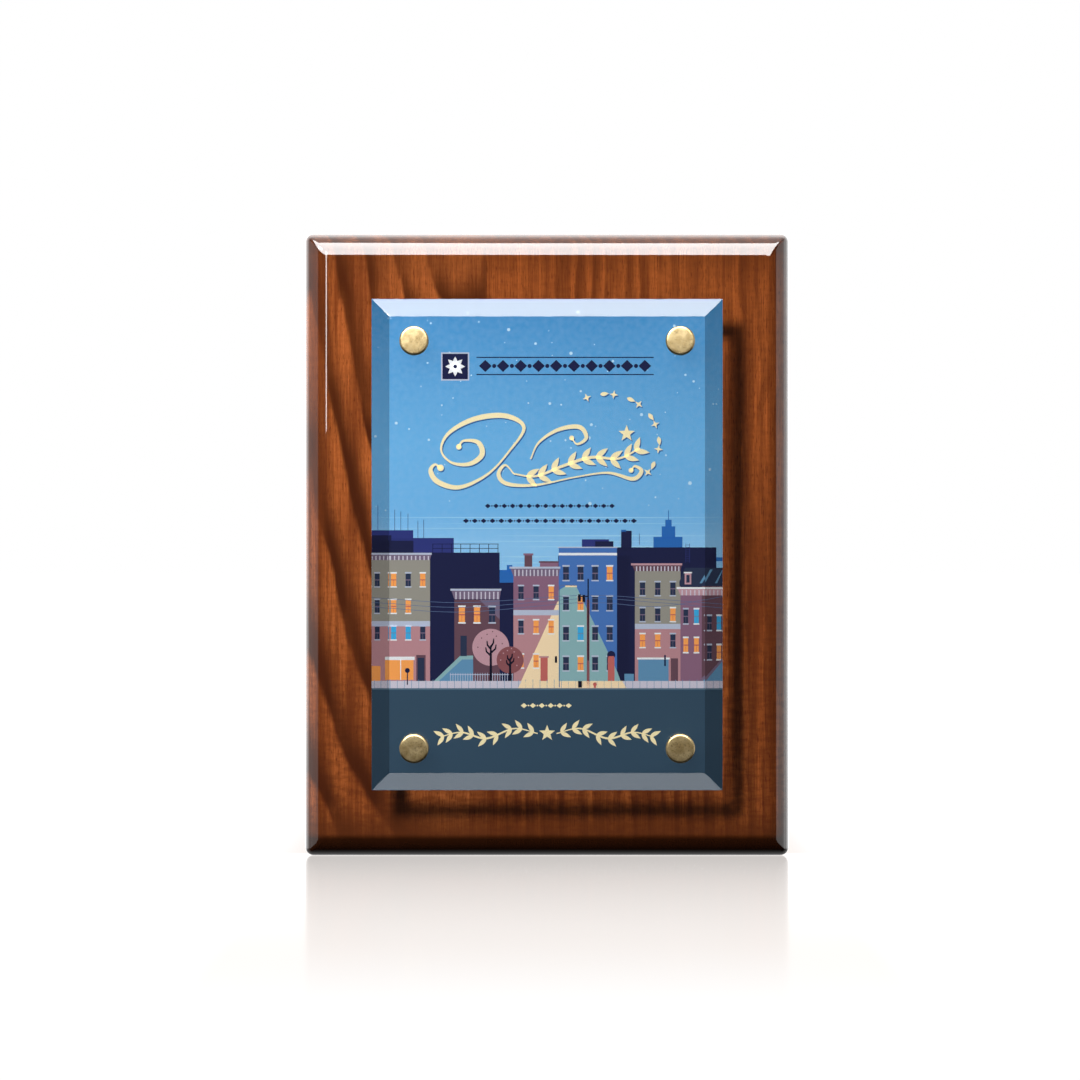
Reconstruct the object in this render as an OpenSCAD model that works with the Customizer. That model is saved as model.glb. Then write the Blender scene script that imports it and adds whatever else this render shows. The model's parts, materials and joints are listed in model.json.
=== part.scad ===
// Wall plaque: a moulded, edge-glued board that carries a bevelled clear plate on four screw posts.
// X is to the right, the front faces -Y and Z is up. The origin is the centre of the board's back.

/* [Board] */
// Width of the board
board_w = 177.8; // [170:0.1:240]
// Height of the board
board_h = 228.6; // [215:0.1:320]
// Thickness of the board
board_t = 19.05; // [18.6:0.05:26]
// Radius of the quarter-round moulding along the front edges
mould_r = 8.4; // [5:0.1:9]
// Plan radius of the four corners
corner_r = 3; // [2:0.5:6]
// Radius of the softened back edges
ease_r = 0.8; // [0.4:0.1:1.5]
// Distance of the glue joint from the centre, towards the left
glue_x = 22; // [16:1:30]

/* [Clear plate] */
// Width of the plate
plate_w = 127; // [120:0.1:140]
// Height of the plate
plate_h = 177.8; // [170:0.1:190]
// Thickness of the plate
plate_t = 6.35; // [5:0.05:8]
// Width of the bevel around the front
bevel_w = 6.5; // [3:0.1:8]
// Depth that the bevel falls
bevel_d = 3.2; // [1.5:0.1:3.5]
// Diameter of the four plate holes
plate_hole_d = 6.4; // [6:0.1:7]
// Thickness of the printed film on the plate's back
film_t = 0.3; // [0.2:0.05:0.5]
// Distance of the film's edge inside the plate's edge
film_inset = 0.2; // [0:0.1:1]

/* [Posts] */
// Distance between the posts across the plate
post_dx = 96; // [80:1:100]
// Distance between the posts up the plate
post_dz = 147; // [130:1:150]
// Diameter of the posts and caps
post_d = 10.6; // [10:0.1:12]
// Length of a post
post_l = 12; // [11:0.5:16]
// Height of a cap's head
cap_h = 2.8; // [2:0.1:4]
// Radius of the cap's rounded edge
cap_edge_r = 0.8; // [0.4:0.1:1]
// Thread diameter of the caps and of the dowel screws
thread_d = 5; // [4.5:0.1:5]
// Clearance around a thread in its post, on the radius
thread_gap = 0.05; // [0.02:0.01:0.1]
// Length of thread that a cap turns into its post, seven turns of 0.8
thread_grip = 5.6; // [4:0.1:5.6]
// Thickness of the soft washers
washer_t = 0.8; // [0.5:0.1:1]
// Length of a dowel screw in the board
dowel_in_board = 12; // [8:0.5:13]

/* [Hanger] */
// Height of the hanger plate's middle above the board's centre
hanger_z = 80; // [60:1:84]
// Width of the hanger plate
hanger_w = 16; // [14:0.5:20]
// Distance between the hanger plate's two screws
hanger_pitch = 36; // [34:1:42]
// Thickness of the hanger plate
hanger_t = 1.6; // [1.6:0.1:2]
// Diameter of the entry hole for the wall screw's head
entry_d = 10; // [9:0.1:11]
// Width of the slot for the wall screw's shank
slot_w = 4.8; // [4:0.1:5]
// Height of the slot's end above the entry hole
slot_rise = 9; // [8:0.5:10]
// Depth of the pocket for the wall screw's head
pocket_deep = 7; // [5:0.5:8]

/* [Hidden] */
$fn = 64;
SIDES = [-1, 1];
board_front = -board_t;
washer_back = board_front - post_l;
film_back = washer_back - washer_t;
plate_back = film_back - film_t;
plate_front = plate_back - plate_t;
cap_back = plate_front - washer_t;
post_x = post_dx / 2;
post_z = post_dz / 2;
bore_d = thread_d + 2 * thread_gap;
washer_d = post_d - 0.8;
washer_bore_d = thread_d + 0.3;
edge_chamfer = 0.3;
stud_chamfer = 0.6;
stud_l = 2 * washer_t + film_t + plate_t + thread_grip;
dowel_in_post = post_l - thread_grip - 0.8;
dowel_tip = 2.4;
entry_z = hanger_z - slot_rise / 2;
slot_z = hanger_z + slot_rise / 2;
hanger_gap = 0.1;
pocket_w = entry_d + 3;
screw_d = 3;
screw_head_d = 6;
screw_head_h = 1.5;
screw_l = 11;
screw_gap = 0.1;
drive_w = 0.7;
drive_l = 3;
drive_deep = 0.8;
brass = "#c9ab6a";

// ---- Helpers ----

// Stands a shape that was drawn along +Z on the point (x, y, z), pointing forwards, along -Y
module facing_front(x, y, z) {
    translate([x, y, z])
        rotate([90, 0, 0])
            children();
}

// A round bar along Y, from y0 in front to y1 behind
module bar(x, z, y0, y1, d) {
    facing_front(x, y1, z)
        cylinder(h = y1 - y0, d = d);
}

// A flat block centred on (x, z), from y0 in front to y1 behind
module block(w, h, y0, y1, x = 0, z = 0) {
    translate([x - w / 2, y0, z - h / 2])
        cube([w, y1 - y0, h]);
}

// An upright slot or plate with round ends, whose end circles are centred at low_z and high_z
module upright_slot(w, low_z, high_z, y0, y1) {
    block(w, high_z - low_z, y0, y1, 0, (low_z + high_z) / 2);
    bar(0, low_z, y0, y1, w);
    bar(0, high_z, y0, y1, w);
}

// A block that is w wide and h high and has the same section, seen from above and from the side,
// so that whatever the section does along its edges meets in mitres at the corners.
// Child 0 is the section of the width and child 1 that of the height; their y runs backwards from front.
module mitred(w, h, front) {
    intersection() {
        translate([0, front, -h])
            linear_extrude(height = 2 * h)
                children(0);
        translate([-w, front, 0])
            rotate([0, 90, 0])
                linear_extrude(height = 2 * w)
                    children(1);
    }
}

// A disc with a hole, its two rims chamfered, drawn along +Z
module turned_ring(d, hole, h, chamfer) {
    rotate_extrude()
        polygon([
            [hole / 2, 0],
            [d / 2 - chamfer, 0],
            [d / 2, chamfer],
            [d / 2, h - chamfer],
            [d / 2 - chamfer, h],
            [hole / 2, h]
        ]);
}

// ---- Board ----

// Section of the board, w wide: quarter-round front edges and softened back edges
module board_section(w) {
    translate([-w / 2 + mould_r, 0])
        square([w - 2 * mould_r, board_t]);
    translate([-w / 2, mould_r])
        square([w, board_t - mould_r - ease_r]);
    translate([-w / 2 + ease_r, mould_r])
        square([w - 2 * ease_r, board_t - mould_r]);
    for (s = SIDES) {
        translate([s * (w / 2 - mould_r), mould_r])
            circle(r = mould_r);
        translate([s * (w / 2 - ease_r), board_t - ease_r])
            circle(r = ease_r);
    }
}

// The board's outline with its four rounded corners, a little deeper than the board
module board_outline() {
    block(board_w - 2 * corner_r, board_h, board_front - 1, 1);
    block(board_w, board_h - 2 * corner_r, board_front - 1, 1);
    for (sx = SIDES) {
        for (sz = SIDES) {
            bar(sx * (board_w / 2 - corner_r), sz * (board_h / 2 - corner_r), board_front - 1, 1, 2 * corner_r);
        }
    }
}

module board_blank() {
    intersection() {
        mitred(board_w, board_h, board_front) {
            board_section(board_w);
            board_section(board_h);
        }
        board_outline();
    }
}

// Pilot holes in the front for the four dowel screws
module dowel_holes() {
    for (sx = SIDES) {
        for (sz = SIDES) {
            bar(sx * post_x, sz * post_z, board_front - 1, board_front + dowel_in_board, thread_d);
        }
    }
}

// Recess for the hanger plate, pilot holes for its screws and the pocket for the wall screw's head
module hanger_cuts() {
    upright_slot(hanger_w + 2 * hanger_gap, hanger_z - hanger_pitch / 2, hanger_z + hanger_pitch / 2, -hanger_t, 1);
    upright_slot(pocket_w, entry_z, slot_z, -pocket_deep, 1);
    for (s = SIDES) {
        bar(0, hanger_z + s * hanger_pitch / 2, -screw_l, 1, screw_d);
    }
}

// The part of the board between two places along X
module stave(from_x, to_x) {
    color("#6e3a1c")
        difference() {
            intersection() {
                board_blank();
                translate([from_x, board_front - 1, -board_h])
                    cube([to_x - from_x, board_t + 2, 2 * board_h]);
            }
            dowel_holes();
            hanger_cuts();
        }
}

module stave_left() {
    stave(-board_w, -glue_x);
}

module stave_right() {
    stave(-glue_x, board_w);
}

// ---- Clear plate and its picture ----

// Section of the plate, w wide, with a bevel on both front edges
module plate_section(w) {
    polygon([
        [-w / 2, plate_t],
        [w / 2, plate_t],
        [w / 2, bevel_d],
        [w / 2 - bevel_w, 0],
        [bevel_w - w / 2, 0],
        [-w / 2, bevel_d]
    ]);
}

// The four holes through the plate or the film
module plate_holes(y0, y1) {
    for (sx = SIDES) {
        for (sz = SIDES) {
            bar(sx * post_x, sz * post_z, y0, y1, plate_hole_d);
        }
    }
}

module clear_plate() {
    color("lightblue", 0.5)
        difference() {
            mitred(plate_w, plate_h, plate_front) {
                plate_section(plate_w);
                plate_section(plate_h);
            }
            plate_holes(plate_front - 1, plate_back + 1);
        }
}

module picture_film() {
    color("steelblue")
        difference() {
            block(plate_w - 2 * film_inset, plate_h - 2 * film_inset, plate_back, film_back);
            plate_holes(plate_back - 1, film_back + 1);
        }
}

// ---- Posts ----
// sx is -1 on the left and 1 on the right; sz is -1 at the bottom and 1 at the top.

module post(sx, sz) {
    color(brass)
        facing_front(sx * post_x, board_front, sz * post_z)
            turned_ring(post_d, bore_d, post_l, edge_chamfer);
}

// Wood thread in the board, machine thread in the post
module dowel_screw(sx, sz) {
    color("silver")
        facing_front(sx * post_x, board_front + dowel_in_board, sz * post_z)
            rotate_extrude()
                polygon([
                    [0, 0],
                    [thread_d / 2, dowel_tip],
                    [thread_d / 2, dowel_in_board + dowel_in_post - edge_chamfer],
                    [thread_d / 2 - edge_chamfer, dowel_in_board + dowel_in_post],
                    [0, dowel_in_board + dowel_in_post]
                ]);
}

// A soft washer with its back at y
module washer(sx, sz, y) {
    color("whitesmoke")
        facing_front(sx * post_x, y, sz * post_z)
            turned_ring(washer_d, washer_bore_d, washer_t, washer_t / 4);
}

// Section of a cap, with its head's underside at height 0 and its stud below
module cap_section() {
    translate([0, -stud_l + stud_chamfer])
        square([thread_d / 2, stud_l]);
    polygon([
        [0, -stud_l],
        [thread_d / 2 - stud_chamfer, -stud_l],
        [thread_d / 2, -stud_l + stud_chamfer],
        [0, -stud_l + stud_chamfer]
    ]);
    square([post_d / 2, cap_h - cap_edge_r]);
    square([post_d / 2 - cap_edge_r, cap_h]);
    translate([post_d / 2 - cap_edge_r, cap_h - cap_edge_r])
        circle(r = cap_edge_r);
}

module cap(sx, sz) {
    color(brass)
        facing_front(sx * post_x, cap_back, sz * post_z)
            rotate_extrude()
                cap_section();
}

// ---- Hanger ----

// A countersunk screw or its hole: flush with the back, with its point forwards
module countersunk(z, gap) {
    bar(0, z, -screw_l, -screw_head_h, screw_d + 2 * gap);
    facing_front(0, 0, z)
        cylinder(h = screw_head_h, d1 = screw_head_d + 2 * gap, d2 = screw_d + 2 * gap);
}

module hanger_plate() {
    color("goldenrod")
        difference() {
            upright_slot(hanger_w, hanger_z - hanger_pitch / 2, hanger_z + hanger_pitch / 2, -hanger_t, 0);
            bar(0, entry_z, -hanger_t - 1, 1, entry_d);
            upright_slot(slot_w, entry_z, slot_z, -hanger_t - 1, 1);
            for (s = SIDES) {
                countersunk(hanger_z + s * hanger_pitch / 2, screw_gap);
            }
        }
}

module hanger_screw(s) {
    z = hanger_z + s * hanger_pitch / 2;
    color("goldenrod")
        difference() {
            countersunk(z, 0);
            block(drive_l, drive_w, -drive_deep, 1, 0, z);
            block(drive_w, drive_l, -drive_deep, 1, 0, z);
        }
}

stave_left();
stave_right();
clear_plate();
picture_film();
post(-1, 1);  // post_top_left
post(1, 1);  // post_top_right
post(-1, -1);  // post_bottom_left
post(1, -1);  // post_bottom_right
dowel_screw(-1, 1);  // dowel_screw_top_left
dowel_screw(1, 1);  // dowel_screw_top_right
dowel_screw(-1, -1);  // dowel_screw_bottom_left
dowel_screw(1, -1);  // dowel_screw_bottom_right
washer(-1, 1, washer_back);  // rear_washer_top_left
washer(1, 1, washer_back);  // rear_washer_top_right
washer(-1, -1, washer_back);  // rear_washer_bottom_left
washer(1, -1, washer_back);  // rear_washer_bottom_right
washer(-1, 1, plate_front);  // front_washer_top_left
washer(1, 1, plate_front);  // front_washer_top_right
washer(-1, -1, plate_front);  // front_washer_bottom_left
washer(1, -1, plate_front);  // front_washer_bottom_right
cap(-1, 1);  // cap_top_left
cap(1, 1);  // cap_top_right
cap(-1, -1);  // cap_bottom_left
cap(1, -1);  // cap_bottom_right
hanger_plate();
hanger_screw(1);  // hanger_screw_top
hanger_screw(-1);  // hanger_screw_bottom
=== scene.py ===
# %% [markdown]
# # A wall plaque with a floating clear plate
# The plaque is a gloss walnut board, a clear bevelled plate on four brass posts and a printed picture on
# the plate's back. The solid model gives every size and place, so this lesson only adds the finished
# surfaces.

# %% Load the solid model as the fixed frame
import json
import math

import bmesh
import bpy
import numpy as np
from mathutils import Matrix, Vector

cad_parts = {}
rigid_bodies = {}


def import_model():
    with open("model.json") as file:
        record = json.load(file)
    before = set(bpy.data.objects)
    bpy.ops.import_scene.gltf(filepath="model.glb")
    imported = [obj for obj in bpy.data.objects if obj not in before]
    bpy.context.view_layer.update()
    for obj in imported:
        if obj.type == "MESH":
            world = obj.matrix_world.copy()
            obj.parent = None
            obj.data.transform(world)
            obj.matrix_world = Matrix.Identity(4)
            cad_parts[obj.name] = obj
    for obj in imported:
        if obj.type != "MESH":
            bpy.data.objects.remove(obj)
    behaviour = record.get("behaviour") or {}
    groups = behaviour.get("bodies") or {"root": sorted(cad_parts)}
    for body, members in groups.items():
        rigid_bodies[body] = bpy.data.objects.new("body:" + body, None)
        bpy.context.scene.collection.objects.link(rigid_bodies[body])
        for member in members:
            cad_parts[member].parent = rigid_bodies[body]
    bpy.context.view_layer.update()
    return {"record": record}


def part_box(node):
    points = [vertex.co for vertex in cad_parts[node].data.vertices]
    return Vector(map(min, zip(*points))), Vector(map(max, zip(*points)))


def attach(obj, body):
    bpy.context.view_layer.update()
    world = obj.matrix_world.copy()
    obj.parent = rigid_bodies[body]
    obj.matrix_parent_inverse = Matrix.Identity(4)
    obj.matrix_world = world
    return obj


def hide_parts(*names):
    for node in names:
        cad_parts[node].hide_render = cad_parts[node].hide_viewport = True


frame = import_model()
scene = bpy.context.scene
MM = 0.001
BODY = "plaque"


# %% Read the sizes that the pieces share
def span(node):
    """Lowest and highest corner of a node, as two arrays in millimetres."""
    low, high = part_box(node)
    return np.array(low) / MM, np.array(high) / MM


left_low, left_high = span("stave_left")
right_low, right_high = span("stave_right")
board_low, board_high = np.minimum(left_low, right_low), np.maximum(left_high, right_high)
board_w, board_t, board_h = board_high - board_low
glue_x = left_high[0]
plate_low, plate_high = span("clear_plate")
plate_w, plate_t, plate_h = plate_high - plate_low
film_low, film_high = span("picture_film")
CORNERS = ["top_left", "top_right", "bottom_left", "bottom_right"]
MOULD_R = 8.4
HOLE_D = 6.4
DOWEL_HOLE_D = 5.0
SCREW_D, SCREW_HEAD_D, SCREW_HEAD_H, SCREW_L = 3.0, 6.0, 1.5, 11.0
ROUND_STEPS = 64
print("board", np.round([board_w, board_t, board_h], 2), "plate", np.round([plate_w, plate_t, plate_h], 2))

# %% [markdown]
# ## Surfaces from arrays
# Every new piece is a grid of points worked out in one go: rows run along a profile and columns run round
# it. A grid can be closed either way. Its end rings are capped by one flat face, and points that fall
# together, such as a pole on an axis, are welded so that the mesh is closed.


# %% Turn arrays into closed meshes
def grid_quads(rows, cols, wrap_cols=True, wrap_rows=False):
    """Corner numbers of every cell: point (r, c) has the number r times cols plus c."""
    r, c = np.meshgrid(np.arange(rows - (not wrap_rows)), np.arange(cols - (not wrap_cols)), indexing="ij")
    r_next, c_next = (r + 1) % rows, (c + 1) % cols
    corners = [r * cols + c, r * cols + c_next, r_next * cols + c_next, r_next * cols + c]
    return np.stack(corners, -1).reshape(-1, 4)


def tidy(mesh, angle=30.0):
    """Weld points that coincide, turn faces outwards, shade smooth up to the given angle in degrees."""
    work = bmesh.new()
    work.from_mesh(mesh)
    bmesh.ops.remove_doubles(work, verts=work.verts, dist=1e-7)
    bmesh.ops.dissolve_degenerate(work, edges=work.edges, dist=1e-8)
    bmesh.ops.recalc_face_normals(work, faces=work.faces)
    work.to_mesh(mesh)
    work.free()
    mesh.shade_smooth()
    mesh.set_sharp_from_angle(angle=math.radians(angle))


def stand(name, data):
    """A new object at the origin that shows this mesh, lamp or camera."""
    thing = bpy.data.objects.new(name, data)
    scene.collection.objects.link(thing)
    return thing


def piece_from(name, points_mm, faces, angle=30.0):
    """A new object at the origin whose points are given in millimetres, in the frame's axes."""
    mesh = bpy.data.meshes.new(name)
    mesh.from_pydata((np.asarray(points_mm, float) * MM).tolist(), [], [list(map(int, f)) for f in faces])
    tidy(mesh, angle)
    return stand(name, mesh)


def capped_grid(name, grid_mm, angle=30.0):
    """A tube of rings, grid_mm[ring, point], closed round each ring and capped at both ends."""
    rows, cols = grid_mm.shape[:2]
    faces = grid_quads(rows, cols).tolist()
    faces.append(list(range(cols))[::-1])
    faces.append(list(range((rows - 1) * cols, rows * cols)))
    return piece_from(name, grid_mm.reshape(-1, 3), faces, angle)


def full(radius, steps=ROUND_STEPS):
    """The same radius all the way round, for each ring."""
    return np.repeat(np.asarray(radius, float)[:, None], steps, axis=1)


def turned(name, radius, along, centre_xz, angle=35.0, closed=False):
    """A lathe shape about a line along Y: radius[ring, angle] about the centre, with ring k at y = along[k].

    Closed joins the last ring to the first, which makes a hollow piece such as a washer."""
    rows, steps = radius.shape
    turn = np.linspace(0, 2 * np.pi, steps, endpoint=False)
    y = np.asarray(along, float)[:, None] + 0 * turn
    grid = np.stack([centre_xz[0] + radius * np.cos(turn), y, centre_xz[1] + radius * np.sin(turn)], -1)
    return piece_from(name, grid.reshape(-1, 3), grid_quads(rows, steps, wrap_rows=closed), angle)


def arc(cx, cy, r, start, stop, steps=8):
    """Points on a circle from angle start to stop, in degrees: centre plus r times (cosine, sine)."""
    t = np.radians(np.linspace(start, stop, steps))
    return np.stack([cx + r * np.cos(t), cy + r * np.sin(t)], -1)


def apply_modifiers(piece):
    """Bake the modifier stack into the mesh."""
    depsgraph = bpy.context.evaluated_depsgraph_get()
    mesh = bpy.data.meshes.new_from_object(piece.evaluated_get(depsgraph))
    piece.modifiers.clear()
    piece.data = mesh


def ease_edges(piece, width, angle):
    """Round every edge that turns by more than the angle, as if polished, by a width in millimetres."""
    edge = piece.modifiers.new("eased", "BEVEL")
    edge.width, edge.segments, edge.limit_method = width * MM, 2, "ANGLE"
    edge.angle_limit = math.radians(angle)
    apply_modifiers(piece)


def carve(piece, cutters, angle=30.0):
    """Cut the cutters' shapes out of the piece and throw the cutters away."""
    for cutter in cutters:
        cut = piece.modifiers.new("cut", "BOOLEAN")
        cut.operation = "DIFFERENCE"
        cut.solver = "EXACT"
        cut.object = cutter
    apply_modifiers(piece)
    tidy(piece.data, angle)
    for cutter in cutters:
        bpy.data.objects.remove(cutter)


def rod(x, z, y0, y1, d, steps=48):
    """A plain round cutter along Y."""
    return turned("cutter", full([0, d / 2, d / 2, 0], steps), [y0, y0, y1, y1], (x, z))


def place(piece, body, slot_name, material, *nodes):
    """Give a piece its body and its finish, and hide the nodes that it stands for; the slot name is not used.
    """
    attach(piece, body)
    if material is not None:
        piece.data.materials.clear()
        piece.data.materials.append(material)
    if nodes:
        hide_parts(*nodes)
    return piece


def post_place(corner):
    """The x and z of a post's axis, from the box of its node."""
    low, high = span("post_" + corner)
    return (low[0] + high[0]) / 2, (low[2] + high[2]) / 2


print("posts at", [tuple(round(float(v), 1) for v in post_place(c)) for c in CORNERS])

# %% [markdown]
# ## Node helpers
# A finish is a small graph of nodes. These helpers keep each graph short: a number or a socket goes in, and
# the next socket comes out. Patterns are laid out in millimetres on Object coordinates.


# %% Short hands for shader nodes
class Graph:
    """The node tree of a material, or of a world, and helpers that add a node and return its output."""

    def __init__(self, name, owner=None):
        self.material = owner or bpy.data.materials.new(name)
        self.material.use_nodes = True
        self.tree = self.material.node_tree
        self.shader = self.tree.nodes.get("Principled BSDF")

    def set(self, **values):
        """Set plain values on the shader's own sockets; an underscore in a name stands for a space."""
        for key, value in values.items():
            self.shader.inputs[key.replace("_", " ")].default_value = value
        return self

    def feed(self, socket, value):
        """Link a socket to an input, or write a plain value to it."""
        if isinstance(value, bpy.types.NodeSocket):
            self.tree.links.new(value, socket)
        else:
            socket.default_value = value

    def add(self, kind, inputs, output=0, **settings):
        """A node of any kind, with its settings and inputs filled in."""
        node = self.tree.nodes.new(kind)
        for key, value in settings.items():
            setattr(node, key, value)
        for key, value in inputs.items():
            self.feed(node.inputs[key], value)
        return node.outputs[output]

    def millimetres(self, scale=(1, 1, 1), shift=(0, 0, 0)):
        """Object coordinates in millimetres, stretched by scale and moved by shift."""
        place_node = self.tree.nodes.new("ShaderNodeTexCoord").outputs["Object"]
        wide = tuple(s / MM for s in scale)
        return self.add("ShaderNodeMapping", {"Vector": place_node, "Scale": wide, "Location": shift})

    def noise(self, where, scale, detail=3.0, rough=0.5):
        """Cloudy values from 0 to 1."""
        return self.add("ShaderNodeTexNoise", {"Vector": where, "Scale": scale, "Detail": detail,
                                               "Roughness": rough}, "Fac")

    def math(self, operation, a, b=0.0):
        """One sum on two values."""
        return self.add("ShaderNodeMath", {0: a, 1: b}, 0, operation=operation)

    def remap(self, value, low, high, to_low=0.0, to_high=1.0, smooth=True):
        """Carry low to high over to to_low to to_high, held at both ends."""
        sockets = {"Value": value, "From Min": low, "From Max": high, "To Min": to_low, "To Max": to_high}
        kind = "SMOOTHSTEP" if smooth else "LINEAR"
        return self.add("ShaderNodeMapRange", sockets, 0, interpolation_type=kind)

    def mix(self, factor, a, b):
        """Blend two colours, which go into the mix node's sockets 6 and 7 and come out of output 2."""
        return self.add("ShaderNodeMix", {0: factor, 6: a, 7: b}, 2, data_type="RGBA")

    def split(self, where):
        """The x, y and z of a place."""
        node = self.tree.nodes.new("ShaderNodeSeparateXYZ")
        self.tree.links.new(where, node.inputs[0])
        return node.outputs

    def join(self, x, y, z):
        """A place from its x, y and z."""
        return self.add("ShaderNodeCombineXYZ", {0: x, 1: y, 2: z})

    def colour(self, socket):
        """Feed the shader's base colour."""
        self.tree.links.new(socket, self.shader.inputs["Base Color"])
        return self

    def bump(self, height, strength, distance_mm):
        """Tilt the surface as if it rose and fell by distance times height."""
        normal = self.add("ShaderNodeBump", {"Height": height, "Strength": strength,
                                             "Distance": distance_mm * MM}, "Normal")
        self.tree.links.new(normal, self.shader.inputs["Normal"])
        return self


def rgb(red, green, blue):
    """A colour given as 0 to 255 on screen, as the linear light that shaders use."""
    screen = np.array([red, green, blue]) / 255
    linear = np.where(screen <= 0.04045, screen / 12.92, ((screen + 0.055) / 1.055) ** 2.4)
    return (*[float(v) for v in linear], 1.0)


print("screen white is", rgb(255, 255, 255))

# %% [markdown]
# ## Walnut under clear lacquer
# Flat-sawn walnut shows tall cathedral arches where the board cuts the growth rings at a slant, and
# straight lines where it cuts them upright. Both are the same formula: the distance from the tree's heart,
# with the height squeezed, goes through a saw-tooth that rises slowly and drops fast. Noise bends the
# rings, short dark dashes are the open pores, and a slow ripple across the grain is the curl. Painted shade
# darkens the inner half of the side mouldings, more on the right, and the face near the top and bottom
# ends, most at the bottom. The top and bottom mouldings are darker still: end-grain stain at both, and
# painted shade that makes the bottom one much darker.
# The lacquer is a clear coat, so the wood's own roughness hardly matters and the coat gives the mirror
# lines along the moulding.


# %% The walnut finish
def late_wood(g, heart, squeeze, spacing, line_depth, bend_mm):
    """The dark part of each ring, from 0 to line_depth.

    Rings are lines of equal root((x - heart x)^2 + ((z - heart z) * squeeze)^2), a spacing apart in mm."""
    x, y, z = g.split(g.millimetres())
    slow = g.noise(g.millimetres((0.012, 0.012, 0.0095)), 1.0, 2.0)
    ripple = g.noise(g.millimetres((0.08, 0.08, 0.014)), 1.0, 4.0, 0.6)
    bend = g.math("ADD", g.math("MULTIPLY", g.math("SUBTRACT", slow, 0.5), bend_mm),
                  g.math("MULTIPLY", g.math("SUBTRACT", ripple, 0.5), 0.4 * bend_mm))
    across = g.math("ADD", g.math("SUBTRACT", x, heart[0]), bend)
    across = g.math("ADD", across, g.math("MULTIPLY", y, 0.6))
    up = g.math("MULTIPLY", g.math("SUBTRACT", z, heart[1]), squeeze)
    reach = g.math("SQRT", g.math("ADD", g.math("MULTIPLY", across, across), g.math("MULTIPLY", up, up)))
    ring = g.math("FRACT", g.math("DIVIDE", reach, spacing))
    late = g.math("MULTIPLY", g.remap(ring, 0.15, 0.8), g.remap(ring, 0.86, 1.0, 1.0, 0.0))
    patchy = g.noise(g.millimetres((0.04, 0.04, 0.016), (40, 0, 9)), 1.0, 2.0)
    strength = g.remap(patchy, 0.34, 0.56, 0.5, 1.0)
    return g.math("MULTIPLY", g.math("MULTIPLY", late, strength), line_depth)


def walnut(name, warmth, heart, squeeze, spacing, line_depth, bend_mm):
    """Streaks, clouds, fibres, curl, rings and pores over one warm colour, then painted shade and end-grain
    stain.
    """
    g = Graph(name)
    x, y, z = g.split(g.millimetres())
    late = late_wood(g, heart, squeeze, spacing, line_depth, bend_mm)
    fibre = g.noise(g.millimetres((2.6, 2.6, 0.06)), 1.0, 4.0, 0.65)
    streak = g.noise(g.millimetres((0.3, 0.3, 0.01), (0, 5, 31)), 1.0, 4.0, 0.6)
    pores = g.remap(g.noise(g.millimetres((3.4, 3.4, 0.3), (7, 0, 3)), 1.0, 2.0, 0.6), 0.56, 0.7)
    curl_field = g.noise(g.millimetres((0.16, 0.16, 0.5), (3, 3, 0)), 1.0, 3.0, 0.6)
    curl = g.math("MULTIPLY", g.remap(curl_field, 0.4, 0.62), g.remap(z, 20.0, -100.0, 0.35, 0.9))
    cloud = g.noise(g.millimetres((0.022, 0.022, 0.013), (11, 0, 60)), 1.0, 2.0)

    def shade(red, green, blue):
        return rgb(warmth[0] * red, warmth[1] * green, warmth[2] * blue)

    wood = g.mix(g.remap(streak, 0.34, 0.64), shade(1.14, 1.14, 1.1), shade(0.74, 0.67, 0.58))
    wood = g.mix(g.remap(cloud, 0.36, 0.64, 0.0, 0.5), wood, shade(1.16, 1.2, 1.2))
    wood = g.mix(g.remap(fibre, 0.38, 0.68, 0.0, 0.62), wood, shade(0.7, 0.63, 0.54))
    wood = g.mix(g.math("MULTIPLY", curl, 0.5), wood, shade(0.6, 0.52, 0.46))
    wood = g.mix(late, wood, shade(0.44, 0.36, 0.28))
    wood = g.mix(g.math("MULTIPLY", pores, 0.75), wood, shade(0.5, 0.42, 0.34))
    from_side = g.math("SUBTRACT", board_w / 2, g.math("ABSOLUTE", x))
    from_end = g.math("SUBTRACT", board_h / 2, g.math("ABSOLUTE", z))
    # Painted shade: the inner half of the side mouldings is darkened, more towards the right side.
    edge_shade = g.math("MULTIPLY", g.remap(from_side, MOULD_R + 0.3, MOULD_R - 1.2), g.remap(from_side, 3.0, 6.5))
    wood = g.mix(g.math("MULTIPLY", edge_shade, g.remap(x, -80.0, 80.0, 0.25, 0.5)), wood, shade(0.5, 0.4, 0.3))
    # Top and bottom mouldings: end-grain stain at both, plus painted shade that makes the bottom one much
    # darker.
    off_back = g.remap(y, -0.4, -1.6)
    end_stain_and_shade = g.math("MULTIPLY", g.remap(from_end, MOULD_R + 0.3, MOULD_R - 2.2), off_back)
    end_stain_and_shade = g.math("MULTIPLY", end_stain_and_shade, g.remap(z, -90.0, 90.0, 0.9, 0.3))
    # Painted shade: the face darkens near the top and bottom ends, most at the bottom.
    end_shade = g.remap(from_end, MOULD_R + 12.0, MOULD_R - 1.0)
    end_shade = g.math("MULTIPLY", end_shade, g.remap(z, -90.0, 90.0, 0.8, 0.35))
    wood = g.mix(end_shade, wood, shade(0.56, 0.51, 0.44))
    wood = g.mix(end_stain_and_shade, wood, shade(0.26, 0.22, 0.18))
    g.colour(wood).set(Roughness=0.45, Specular_IOR_Level=0.0)
    g.set(Coat_Weight=1.0, Coat_Roughness=0.02, Coat_IOR=1.52)
    return g.material


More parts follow.
